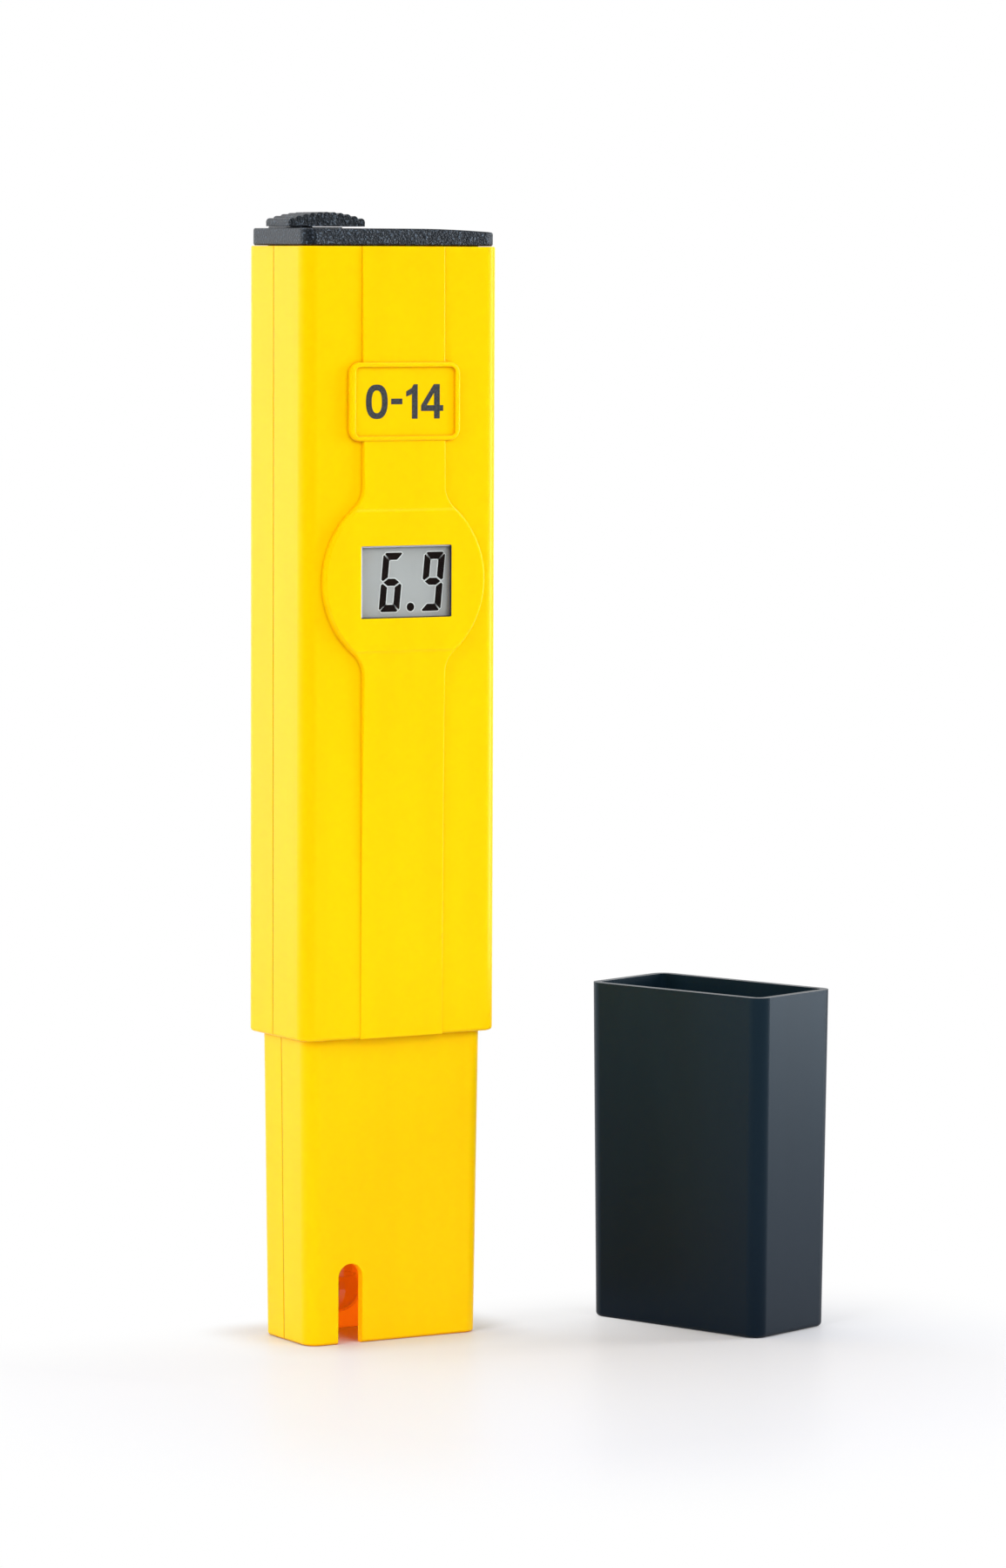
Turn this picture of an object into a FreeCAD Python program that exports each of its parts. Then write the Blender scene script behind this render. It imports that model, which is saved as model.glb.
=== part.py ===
import FreeCAD, Part
import math
import os

from FreeCAD import Vector

# A pocket pH meter with a loose protective cap. Millimetres throughout.
# X is the width, the display faces -Y, Z is up. The origin is the centre of the
# probe end that the meter stands on. The cap stands on the same ground beside it.

# ---- housing, the wide upper part -------------------------------------------------
HOUSING_W = 30.0            # width over the side walls
HOUSING_D = 16.6            # depth, front face to rear face
HOUSING_R = 2.0             # radius of the four upright corners
HOUSING_BOTTOM = 41.6       # shoulder above the probe sleeve
HOUSING_TOP = 147.84        # open mouth that the battery drawer closes
WALL = 1.8
PARTING_Y = 0.4             # plane where the front and rear half shells meet
SEAM_W = 0.16               # fine groove that the parting plane leaves outside
SEAM_DEPTH = 0.13

# ---- probe sleeve, the narrower open end -----------------------------------------
SLEEVE_TOP = (27.4, 13.6)   # width and depth under the shoulder
SLEEVE_END = (26.4, 13.1)   # width and depth at the open end
SLEEVE_R = 2.0
SLEEVE_WALL = 1.25
SLEEVE_EDGE = 0.4           # rounding of the outer rim
NOTCH_X = -6.8              # centre of the arched sample notch in the front wall
NOTCH_W = 3.7
NOTCH_TOP = 10.9

# ---- raised band and display bezel on the front ----------------------------------
BAND_W = 12.25
BEZEL_Z = 103.2             # centre of the round bezel
BEZEL_R = 12.25
BEZEL_BLEND_R = 4.0         # hollow curve between the band and the round bezel
BEZEL_CREASE = 9.3          # half height of the bezel's level part
BEZEL_H = 0.9               # how far the bezel stands out of the front face
BEZEL_EDGE = 0.2            # broken edge round the bezel's face
BEZEL_STEP = (0.35, 0.12)   # width and height of the small step up to the bezel's face
BAND_H_LOW = (0.12, 0.45)   # band below the bezel: at the shoulder and at LOW_MIDDLE_Z
LOW_MIDDLE_Z = 80.0
BAND_H_HIGH = (0.45, 0.16)  # band above the bezel: at HIGH_MIDDLE_Z and at the mouth
HIGH_MIDDLE_Z = 127.0
RAISED_DRAFT = 0.3          # spread of the raised outline at its foot
WINDOW = (13.85, 9.7)       # clear opening over the display
WINDOW_C = (0.12, 103.05)
WINDOW_LIP = 0.4            # thickness of the yellow lip round the opening
PLATE = (16.9, 10.5)        # raised name plate above the bezel
PLATE_C = (0.0, 127.15)
PLATE_R = 1.6
PLATE_H = 0.8
PLATE_RIM = (0.78, 0.62)    # rim width at the sides and at top and bottom
PLATE_SUNK = 0.35

# ---- top cap, drawer and thumb switch --------------------------------------------
CAP_INSET = 0.3             # top cap is this much smaller than the housing all round
CAP_BOTTOM = 147.9
CAP_TOP = 150.2
CAP_TOP_END = 149.72        # the cap falls away towards the right
SKIRT = (26.0, 12.6)        # plug that goes into the housing mouth
SKIRT_BOTTOM = 144.4
KNOB_L = 11.6
KNOB_D = 6.4
KNOB_X = -8.15              # centre of the knob in its "on" place at the left
KNOB_Y = 1.3
KNOB_BOTTOM = 150.46
KNOB_END_H = 0.9
KNOB_MID_H = 1.93
RIB_COUNT = 11
RIB_DEPTH = 0.5
SWITCH_TRAVEL = 3.5
KNOB_STEM = (2.6, 2.2)      # stem through the slot of the cap
STEM_X = -10.3
STEM_JOINT_Z = 147.95       # where the stem meets the slider under the cap
TRACK_X = (-14.0, -5.4)     # low raised track on the cap that the knob runs over
TRACK_H = 0.16

# ---- button cells ------------------------------------------------------------------
CELL_R = 5.8
CELL_L = 5.4
CELL_COUNT = 4
CELL_Z = 136.3
TRAY = (25.8, 12.0)
TRAY_BOTTOM = 128.6
TRAY_END_WALL = 1.2

# ---- circuit board and display ---------------------------------------------------
BOARD_W = 24.0
BOARD_T = 1.2
BOARD_FRONT_Y = -3.4
BOARD_Z = (60.0, 126.0)
LENS = (18.0, 14.0, 0.5)
LENS_GAP = 0.1                # air between the window and the display
GLASS = (17.6, 13.6, 1.6)
LCD_FRAME = (20.4, 17.4)
TRIMMER = (0.0, 80.0)       # place of the calibration trimmer on the board
TRIMMER_ROTOR_R = 1.8
CALIBRATION_R = 1.5         # hole in the rear shell that a screwdriver goes through
BOARD_POSTS = ((-9.2, 68.0), (9.2, 68.0), (-9.2, 119.0), (9.2, 119.0))
SHELL_SCREWS = ((0.0, 55.5), (0.0, 118.0))

# ---- electrode ---------------------------------------------------------------------
BULB_C = (-5.3, 0.0, 6.6)
BULB_R = 3.3
BULB_T = 0.3
STEM_R = 2.7
STEM_BORE_R = 2.1
STEM_TOP = 50.0
REFERENCE_X = 5.3
CARRIER_BOTTOM = 24.0

# ---- protective cap ----------------------------------------------------------------
COVER_C = (45.57, -14.11)   # where the cap stands beside the meter
COVER_TURN = 19.36          # its long side is turned by this from the Y axis, degrees
COVER_TOP = (16.3, 30.4)    # short and long side at the open rim
COVER_END = (15.6, 29.45)
COVER_H = 46.64
COVER_R = 2.0
COVER_WALL = 1.15
COVER_FLOOR = 1.6

FRONT_Y = -HOUSING_D / 2
REAR_Y = HOUSING_D / 2
INNER_FRONT_Y = FRONT_Y + WALL
INNER_REAR_Y = REAR_Y - WALL
FLOOR_Z = HOUSING_BOTTOM + WALL


# ---- helpers -----------------------------------------------------------------------
def box(x0, x1, y0, y1, z0, z1):
    return Part.makeBox(x1 - x0, y1 - y0, z1 - z0, Vector(x0, y0, z0))


def rod(radius, start, end):
    axis = Vector(*end) - Vector(*start)
    return Part.makeCylinder(radius, axis.Length, Vector(*start), axis)


def rounded_wire(width, depth, radius, z):
    """Rounded rectangle in a level plane, centred on the Z axis."""
    w = width / 2
    d = depth / 2
    k = radius * (1 - math.sqrt(0.5))
    corners = (
        (Vector(w - radius, -d, z), Vector(w - k, -d + k, z), Vector(w, -d + radius, z)),
        (Vector(w, d - radius, z), Vector(w - k, d - k, z), Vector(w - radius, d, z)),
        (Vector(-w + radius, d, z), Vector(-w + k, d - k, z), Vector(-w, d - radius, z)),
        (Vector(-w, -d + radius, z), Vector(-w + k, -d + k, z), Vector(-w + radius, -d, z)),
    )
    edges = []
    for index, (start, middle, end) in enumerate(corners):
        edges.append(Part.Arc(start, middle, end).toShape())
        following = corners[(index + 1) % 4][0]
        edges.append(Part.LineSegment(end, following).toShape())
    return Part.Wire(edges)


def rounded_block(width, depth, radius, z0, z1, x=0.0, y=0.0):
    face = Part.Face(rounded_wire(width, depth, radius, z0))
    block = face.extrude(Vector(0, 0, z1 - z0))
    block.translate(Vector(x, y, 0))
    return block


def tapered_block(low, high, radius_low, radius_high, z0, z1):
    """Loft between two rounded rectangles; low and high are (width, depth)."""
    lower = rounded_wire(low[0], low[1], radius_low, z0)
    upper = rounded_wire(high[0], high[1], radius_high, z1)
    return Part.makeLoft([lower, upper], True, True)


def front_plate(width, height, radius, y0, y1, x, z):
    """Rounded rectangle standing in the XZ plane, from y0 to y1."""
    plate = rounded_block(width, height, radius, 0.0, y1 - y0)
    plate.rotate(Vector(0, 0, 0), Vector(1, 0, 0), 90)
    plate.translate(Vector(x, y1, z))
    return plate


def polygon_face(points):
    vectors = [Vector(*point) for point in points]
    return Part.Face(Part.makePolygon(vectors + [vectors[0]]))


def fillet_edges(shape, radius, wanted):
    """Round the edges that the test function picks."""
    edges = [edge for edge in shape.Edges if wanted(edge)]
    return shape.makeFillet(radius, edges)


def lies_at_z(edge, z):
    return abs(edge.BoundBox.ZMin - z) < 1e-4 and abs(edge.BoundBox.ZMax - z) < 1e-4


# ---- shells ------------------------------------------------------------------------
def sleeve_solid(grow):
    """Outer form of the probe sleeve, moved out (or in, when negative) by grow."""
    end = (SLEEVE_END[0] + 2 * grow, SLEEVE_END[1] + 2 * grow)
    top = (SLEEVE_TOP[0] + 2 * grow, SLEEVE_TOP[1] + 2 * grow)
    radius = SLEEVE_R + grow
    return tapered_block(end, top, radius, radius, 0.0, HOUSING_BOTTOM)


def housing_outside():
    housing = rounded_block(HOUSING_W, HOUSING_D, HOUSING_R, HOUSING_BOTTOM, HOUSING_TOP)
    housing = fillet_edges(housing, 0.5, lambda edge: lies_at_z(edge, HOUSING_BOTTOM))
    housing = fillet_edges(housing, 0.2, lambda edge: lies_at_z(edge, HOUSING_TOP))
    sleeve = sleeve_solid(0.0)
    sleeve = fillet_edges(sleeve, SLEEVE_EDGE, lambda edge: lies_at_z(edge, 0.0))
    return housing.fuse(sleeve)


def raised_outline(grow, y):
    """Band, blends and round bezel as one outline in the XZ plane."""
    half = BAND_W / 2 + grow
    radius = BEZEL_R + grow
    blend = BEZEL_BLEND_R - grow
    blend_x = half + blend
    blend_z = math.sqrt((radius + blend) ** 2 - blend_x ** 2)
    share = radius / (radius + blend)
    touch_x = blend_x * share
    touch_z = blend_z * share
    low = HOUSING_BOTTOM - 1 - BEZEL_Z
    high = HOUSING_TOP + 1 - BEZEL_Z

    def at(x, z):
        return Vector(x, y, BEZEL_Z + z)

    def blend_middle(side_x, side_z):
        touch_angle = math.atan2(touch_z - blend_z, touch_x - blend_x) % (2 * math.pi)
        angle = (math.pi + touch_angle) / 2
        return at(side_x * (blend_x + blend * math.cos(angle)),
                  side_z * (blend_z + blend * math.sin(angle)))

    edges = []
    for side in (1, -1):
        edges.append(Part.Arc(at(side * touch_x, -touch_z), at(side * radius, 0.0),
                              at(side * touch_x, touch_z)).toShape())
        for way, end in ((-1, low), (1, high)):
            edges.append(Part.Arc(at(side * touch_x, way * touch_z), blend_middle(side, way),
                                  at(side * half, way * blend_z)).toShape())
            edges.append(Part.LineSegment(at(side * half, way * blend_z),
                                          at(side * half, end)).toShape())
    for end in (low, high):
        edges.append(Part.LineSegment(at(half, end), at(-half, end)).toShape())
    return Part.Wire(Part.__sortEdges__(edges))


def raised_form():
    """Everything that stands out of the front face: band, bezel and plate."""
    foot_y = FRONT_Y + 0.6
    head_y = FRONT_Y - BEZEL_H - 0.2
    column = Part.makeLoft([raised_outline(RAISED_DRAFT, foot_y), raised_outline(0.0, head_y)],
                           True, True)
    edge_foot = 0.6 + BEZEL_H - BEZEL_EDGE
    broken_edge = Part.makeLoft([raised_outline(edge_foot, foot_y),
                                 raised_outline(edge_foot - (foot_y - head_y), head_y)],
                                True, True)
    step_w, step_h = BEZEL_STEP
    low_z = BEZEL_Z - BEZEL_CREASE
    high_z = BEZEL_Z + BEZEL_CREASE

    def at(z, height):
        return Vector(-20, FRONT_Y - height, z)

    def line(start, end):
        return Part.LineSegment(start, end).toShape()

    low_end = at(low_z - step_w, BEZEL_H - step_h)
    high_start = at(high_z + step_w, BEZEL_H - step_h)
    edges = [
        line(at(HOUSING_BOTTOM, -0.5), at(HOUSING_BOTTOM, BAND_H_LOW[0])),
        Part.Arc(at(HOUSING_BOTTOM, BAND_H_LOW[0]), at(LOW_MIDDLE_Z, BAND_H_LOW[1]),
                 low_end).toShape(),
        line(low_end, at(low_z, BEZEL_H)),
        line(at(low_z, BEZEL_H), at(high_z, BEZEL_H)),
        line(at(high_z, BEZEL_H), high_start),
        Part.Arc(high_start, at(HIGH_MIDDLE_Z, BAND_H_HIGH[0]),
                 at(HOUSING_TOP, BAND_H_HIGH[1])).toShape(),
        line(at(HOUSING_TOP, BAND_H_HIGH[1]), at(HOUSING_TOP, -0.5)),
        line(at(HOUSING_TOP, -0.5), at(HOUSING_BOTTOM, -0.5)),
    ]
    side_form = Part.Face(Part.Wire(edges)).extrude(Vector(40, 0, 0))
    return column.common(broken_edge).common(side_form)


def name_plate():
    plate = front_plate(PLATE[0], PLATE[1], PLATE_R, FRONT_Y - PLATE_H, FRONT_Y + 0.5, *PLATE_C)
    face_y = FRONT_Y - PLATE_H
    plate = fillet_edges(plate, 0.3, lambda edge: abs(edge.BoundBox.YMax - face_y) < 1e-4)
    width = PLATE[0] - 2 * PLATE_RIM[0]
    height = PLATE[1] - 2 * PLATE_RIM[1]
    return plate, front_plate(width, height, 0.7, face_y - 1, face_y + PLATE_SUNK, *PLATE_C)


def housing_inside():
    cavity = rounded_block(HOUSING_W - 2 * WALL, HOUSING_D - 2 * WALL, 0.8,
                           FLOOR_Z, HOUSING_TOP + 5)
    end = (SLEEVE_END[0] - 2 * SLEEVE_WALL, SLEEVE_END[1] - 2 * SLEEVE_WALL)
    top = (SLEEVE_TOP[0] - 2 * SLEEVE_WALL, SLEEVE_TOP[1] - 2 * SLEEVE_WALL)
    sleeve = tapered_block(end, top, 0.9, 0.9, -0.001, FLOOR_Z + 0.5)
    return cavity.fuse(sleeve)


def seam_groove():
    slab = box(-16, 16, PARTING_Y - SEAM_W / 2, PARTING_Y + SEAM_W / 2, -1, HOUSING_TOP + 1)
    core = rounded_block(HOUSING_W - 2 * SEAM_DEPTH, HOUSING_D, 1.0,
                         HOUSING_BOTTOM - 0.001, HOUSING_TOP + 2)
    lower = sleeve_solid(-SEAM_DEPTH)
    lower.translate(Vector(0, 0, -0.001))
    under = rounded_block(SLEEVE_END[0] - 2, 10, 1.0, -2, 0.5)
    return slab.cut(core.fuse(lower).fuse(under))


def sample_notch():
    radius = NOTCH_W / 2
    spring_z = NOTCH_TOP - radius
    straight = box(NOTCH_X - radius, NOTCH_X + radius, FRONT_Y - 2, -2.0, -1, spring_z)
    arch = rod(radius, (NOTCH_X, FRONT_Y - 2, spring_z), (NOTCH_X, -2.0, spring_z))
    return straight.fuse(arch)


def whole_shell():
    shell = housing_outside().fuse(raised_form())
    plate, plate_recess = name_plate()
    shell = shell.fuse(plate).cut(plate_recess).cut(housing_inside())
    shell = shell.removeSplitter()
    lens_front = FRONT_Y - BEZEL_H + WINDOW_LIP
    opening = front_plate(WINDOW[0], WINDOW[1], 0.15, FRONT_Y - 3, INNER_FRONT_Y + 1, *WINDOW_C)
    pocket = front_plate(LENS[0] + 0.2, LENS[1] + 0.2, 0.6, lens_front, INNER_FRONT_Y + 1,
                         *WINDOW_C)
    return shell.cut(opening).cut(pocket).cut(seam_groove()).cut(sample_notch())


def front_shell(shell):
    half = shell.common(box(-20, 20, -12, PARTING_Y, -1, HOUSING_TOP + 1))
    for x, z in BOARD_POSTS:
        post = rod(2.2, (x, INNER_FRONT_Y - 0.4, z), (x, BOARD_FRONT_Y, z))
        half = half.fuse(post)
    for x, z in SHELL_SCREWS:
        half = half.fuse(rod(2.5, (x, INNER_FRONT_Y - 0.4, z), (x, PARTING_Y, z)))
    for x, z in BOARD_POSTS[::3]:
        half = half.cut(rod(0.8, (x, INNER_FRONT_Y + 0.2, z), (x, BOARD_FRONT_Y + 1, z)))
    for x, z in SHELL_SCREWS:
        half = half.cut(rod(1.0, (x, INNER_FRONT_Y + 0.3, z), (x, PARTING_Y + 1, z)))
    return half


def rear_shell(shell):
    half = shell.common(box(-20, 20, PARTING_Y, 12, -1, HOUSING_TOP + 1))
    for x, z in SHELL_SCREWS:
        half = half.fuse(rod(3.0, (x, PARTING_Y, z), (x, INNER_REAR_Y + 0.4, z)))
    x, z = TRIMMER
    half = half.fuse(rod(2.5, (x, 2.9, z), (x, INNER_REAR_Y + 0.4, z)))
    half = half.cut(rod(CALIBRATION_R, (x, 2.0, z), (x, REAR_Y + 1, z)))
    for x, z in SHELL_SCREWS:
        half = half.cut(rod(1.15, (x, PARTING_Y - 1, z), (x, REAR_Y + 1, z)))
        half = half.cut(rod(2.1, (x, REAR_Y - 2.2, z), (x, REAR_Y + 1, z)))
    return half


# ---- display -----------------------------------------------------------------------
def display_window():
    front = FRONT_Y - BEZEL_H + WINDOW_LIP
    return front_plate(LENS[0], LENS[1], 0.5, front, front + LENS[2], *WINDOW_C)


def lcd_glass():
    """Two panes; the rear one is taller, with the contact ledges."""
    front = FRONT_Y - BEZEL_H + WINDOW_LIP + LENS[2] + LENS_GAP
    fore = front_plate(GLASS[0], GLASS[1] - 2.6, 0.2, front, front + 0.8, *WINDOW_C)
    rear = front_plate(GLASS[0], GLASS[1], 0.2, front + 0.8, front + GLASS[2], *WINDOW_C)
    return fore.fuse(rear)


def glass_back_y():
    return FRONT_Y - BEZEL_H + WINDOW_LIP + LENS[2] + LENS_GAP + GLASS[2]


def lcd_frame():
    x, z = WINDOW_C
    frame = front_plate(LCD_FRAME[0], LCD_FRAME[1], 0.8, INNER_FRONT_Y, BOARD_FRONT_Y, x, z)
    frame = frame.cut(front_plate(14.6, 7.4, 0.5, -12, 0, x, z))
    for side in (1, -1):
        slot_z = z + side * 5.4
        frame = frame.cut(front_plate(16.4, 2.0, 0.2, -12, 0, x, slot_z))
    return frame


def zebra_strip(side):
    x, z = WINDOW_C
    return front_plate(16.2, 1.8, 0.2, glass_back_y(), BOARD_FRONT_Y, x, z + side * 5.4)


# ---- circuit board -----------------------------------------------------------------
def board_back_y():
    return BOARD_FRONT_Y + BOARD_T


def circuit_board():
    z0, z1 = BOARD_Z
    board = front_plate(BOARD_W, z1 - z0, 1.0, BOARD_FRONT_Y, board_back_y(),
                        0.0, (z0 + z1) / 2)
    for x, z in BOARD_POSTS[::3]:
        board = board.cut(rod(0.9, (x, -6, z), (x, 0, z)))
    x, z = SHELL_SCREWS[1]
    return board.cut(rod(2.8, (x, -6, z), (x, 0, z)))


def chip_cover():
    """Low dome of black resin over the bare chip."""
    rise = 1.4
    radius = 4.6
    sphere_r = (radius ** 2 + rise ** 2) / (2 * rise)
    centre = Vector(-4.6, board_back_y() + rise - sphere_r, 100.0)
    ball = Part.makeSphere(sphere_r, centre)
    return ball.common(box(-12, 12, board_back_y(), 6, 90, 112))


def amplifier_chip():
    """Small eight-lead package with its gull-wing leads."""
    y = board_back_y()
    x = 6.0
    z = 96.0
    chip = box(x - 1.95, x + 1.95, y + 0.15, y + 1.6, z - 2.45, z + 2.45)
    chip = chip.makeChamfer(0.15, [edge for edge in chip.Edges
                                   if abs(edge.BoundBox.YMin - (y + 1.6)) < 1e-4])
    for side in (1, -1):
        for lead in range(4):
            lead_z = z + (lead - 1.5) * 1.27
            profile = [(1.9, 0.7), (2.35, 0.7), (2.35, 0.0), (3.0, 0.0), (3.0, 0.2), (2.55, 0.2),
                       (2.55, 0.9), (1.9, 0.9)]
            points = [(x + side * a, y + b, lead_z - 0.2) for a, b in profile]
            chip = chip.fuse(polygon_face(points).extrude(Vector(0, 0, 0.4)))
    return chip


def capacitor():
    """Upright can capacitor on its square foot."""
    y = board_back_y()
    foot = box(-8.15, -3.85, y, y + 0.5, 84.85, 89.15)
    can = rod(2.0, (-6, y + 0.5, 87), (-6, y + 5.0, 87))
    can = fillet_edges(can, 0.3, lambda edge: abs(edge.BoundBox.YMin - (y + 5.0)) < 1e-4)
    return foot.fuse(can)


def crystal():
    """Oval metal can lying on the board."""
    y = board_back_y()
    return front_plate(7.6, 3.1, 1.54, y, y + 2.2, 6.2, 106.0)


def trimmer_body():
    x, z = TRIMMER
    y = board_back_y()
    body = front_plate(6.6, 6.6, 0.4, y, y + 4.2, x, z)
    recess = rod(TRIMMER_ROTOR_R + 0.05, (x, y + 2.6, z), (x, y + 5, z))
    return body.cut(recess)


def trimmer_rotor():
    x, z = TRIMMER
    y = board_back_y() + 2.62
    rotor = rod(TRIMMER_ROTOR_R, (x, y, z), (x, y + 1.9, z))
    slot = box(x - 3, x + 3, y + 1.2, y + 3, z - 0.3, z + 0.3)
    pointer = box(x + 0.9, x + 1.4, y + 1.7, y + 3, z - 0.6, z + 0.6)
    return rotor.cut(slot).cut(pointer)


def board_spring(side):
    """Bent bronze strip on the board that the drawer's foot comes down on."""
    y = board_back_y()
    x = side * 9.7
    t = 0.25
    path = [
        Part.LineSegment(Vector(x, y + t / 2, 121.0), Vector(x, y + t / 2, 126.6)),
        Part.Arc(Vector(x, y + t / 2, 126.6),
                 Vector(x, y + t / 2 + 1.5 * (1 - math.sqrt(0.5)), 126.6 + 1.5 * math.sqrt(0.5)),
                 Vector(x, y + t / 2 + 1.5, 128.1)),
        Part.LineSegment(Vector(x, y + t / 2 + 1.5, 128.1), Vector(x, y + 4.0, 128.1)),
    ]
    wire = Part.Wire([piece.toShape() for piece in path])
    section = Part.Wire(Part.makePolygon([
        Vector(x - 1.25, y, 121.0), Vector(x + 1.25, y, 121.0),
        Vector(x + 1.25, y + t, 121.0), Vector(x - 1.25, y + t, 121.0),
        Vector(x - 1.25, y, 121.0)]))
    strip = wire.makePipeShell([section], True, False)
    return strip


def pan_screw(x, z, head_y, head_r, head_h, shank_r, length):
    """Pan head screw that points to -Y, with a cross slot."""
    head = rod(head_r, (x, head_y, z), (x, head_y + head_h, z))
    head = fillet_edges(head, head_h * 0.4,
                        lambda edge: abs(edge.BoundBox.YMin - head_y - head_h) < 1e-4)
    shank = rod(shank_r, (x, head_y - length, z), (x, head_y, z))
    arm = head_r * 0.6
    depth = head_y + head_h * 0.45
    cross = box(x - arm, x + arm, depth, head_y + 3, z - 0.2, z + 0.2)
    cross = cross.fuse(box(x - 0.2, x + 0.2, depth, head_y + 3, z - arm, z + arm))
    return head.fuse(shank).cut(cross)


def board_screws():
    screws = [pan_screw(x, z, board_back_y(), 1.6, 1.0, 0.8, 4.0) for x, z in BOARD_POSTS[::3]]
    return Part.makeCompound(screws)


def shell_screws():
    screws = [pan_screw(x, z, REAR_Y - 2.2, 1.9, 1.3, 1.0, 10.5) for x, z in SHELL_SCREWS]
    return Part.makeCompound(screws)


# ---- electrode ---------------------------------------------------------------------
def glass_bulb():
    """Thin pH-sensitive bulb, open at the top where it joins the stem."""
    x, y, z = BULB_C
    rise = math.sqrt(BULB_R ** 2 - STEM_R ** 2)
    outer = Part.makeSphere(BULB_R, Vector(x, y, z))
    inner = Part.makeSphere(BULB_R - BULB_T, Vector(x, y, z))
    return outer.cut(inner).common(box(x - 5, x + 5, -5, 5, 0, z + rise))


def bulb_top():
    return BULB_C[2] + math.sqrt(BULB_R ** 2 - STEM_R ** 2)


def glass_stem():
    x, y, _ = BULB_C
    stem = rod(STEM_R, (x, y, bulb_top()), (x, y, STEM_TOP))
    return stem.cut(rod(STEM_BORE_R, (x, y, 0), (x, y, STEM_TOP + 1)))


def stem_stopper():
    x, y, _ = BULB_C
    stopper = rod(STEM_R, (x, y, STEM_TOP), (x, y, STEM_TOP + 1.6))
    stopper = stopper.fuse(rod(STEM_BORE_R, (x, y, STEM_TOP - 3), (x, y, STEM_TOP)))
    return stopper.cut(rod(0.3, (x, y, 0), (x, y, 60)))


def half_cell_wire(x, bottom):
    return rod(0.3, (x, 0, bottom), (x, 0, STEM_TOP + 1.6))


def electrode_carrier():
    """Plug that closes the sleeve and holds both half cells."""
    z = FLOOR_Z
    plug = rounded_block(23.4, 10.0, 1.0, CARRIER_BOTTOM, z)
    plug = plug.cut(rounded_block(30, 20, 1.0, 38, 40).cut(rounded_block(22.4, 9.0, 1.0, 38, 40)))
    collar = rounded_block(25.8, 12.4, 0.7, z, z + 2.5)
    carrier = plug.fuse(collar)
    carrier = carrier.cut(rod(STEM_R, (BULB_C[0], 0, 0), (BULB_C[0], 0, 60)))
    carrier = carrier.cut(rod(3.5, (REFERENCE_X, 0, 27), (REFERENCE_X, 0, 60)))
    return carrier.cut(rod(1.5, (REFERENCE_X, 0, 0), (REFERENCE_X, 0, 60)))


def carrier_gasket():
    ring = rounded_block(24.4, 10.9, 1.1, 38, 40)
    return ring.cut(rounded_block(22.4, 9.0, 1.0, 37, 41))


def reference_junction():
    """Porous ceramic pin that lets the reference gel touch the sample."""
    pin = rod(1.5, (REFERENCE_X, 0, CARRIER_BOTTOM - 0.4), (REFERENCE_X, 0, 27.0))
    return fillet_edges(pin, 0.3, lambda edge: lies_at_z(edge, CARRIER_BOTTOM - 0.4))


def reference_stopper():
    z = FLOOR_Z + 2.5
    stopper = rod(3.5, (REFERENCE_X, 0, z - 3), (REFERENCE_X, 0, z))
    return stopper.cut(rod(0.3, (REFERENCE_X, 0, 0), (REFERENCE_X, 0, 60)))


def sealing_resin():
    z = FLOOR_Z + 2.5
    resin = rounded_block(HOUSING_W - 2 * WALL, HOUSING_D - 2 * WALL, 0.8, z, z + 1.6)
    resin = resin.cut(rod(STEM_R, (BULB_C[0], 0, 0), (BULB_C[0], 0, 60)))
    return resin.cut(rod(0.3, (REFERENCE_X, 0, 0), (REFERENCE_X, 0, 60)))


def electrode_lead(x):
    """Thin lead from a half cell up and over to its pad on the board."""
    start = STEM_TOP + 1.6
    radius = -board_back_y()
    turn = 64.6 - radius
    k = math.sqrt(0.5)
    path = Part.Wire([
        Part.LineSegment(Vector(x, 0, start), Vector(x, 0, turn)).toShape(),
        Part.Arc(Vector(x, 0, turn), Vector(x, -radius * (1 - k), turn + radius * k),
                 Vector(x, -radius, turn + radius)).toShape(),
    ])
    section = Part.Wire(Part.makeCircle(0.35, Vector(x, 0, start), Vector(0, 0, 1)))
    return path.makePipeShell([section], True, False)


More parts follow.
